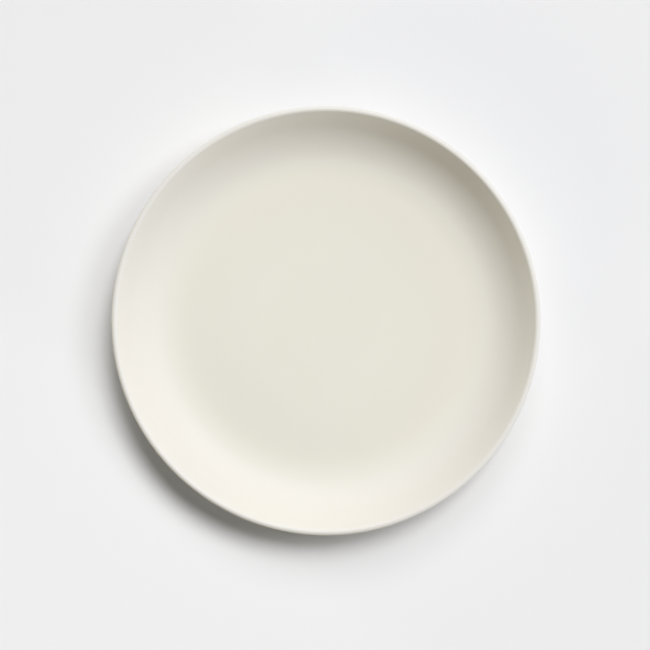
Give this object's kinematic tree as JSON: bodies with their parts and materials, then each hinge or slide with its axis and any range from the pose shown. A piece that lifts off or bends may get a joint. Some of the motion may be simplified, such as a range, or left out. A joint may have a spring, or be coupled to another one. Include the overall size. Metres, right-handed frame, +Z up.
{
  "type": "salad plate",
  "caption": "Round coupe salad plate: a flat well in a wall that sweeps up to a thin rounded lip, satin glaze over fired clay, with a bare foot ring to stand on.",
  "frame": {"origin": "centre of the foot ring's sole, on the surface that the plate stands on", "axes": "+Z up along the plate's axis; +X and +Y are alike, because the plate is round"},
  "size_m": [0.216, 0.216, 0.0254],
  "materials": {
    "fired_clay": "bare fired clay, pale buff and matt, with a fine grit",
    "satin_glaze": "smooth satin cream glaze"
  },
  "bodies": {
    "root": {"clay_body": "fired_clay", "glaze_coat": "satin_glaze", "base_glaze": "satin_glaze"}
  },
  "joints": []
}
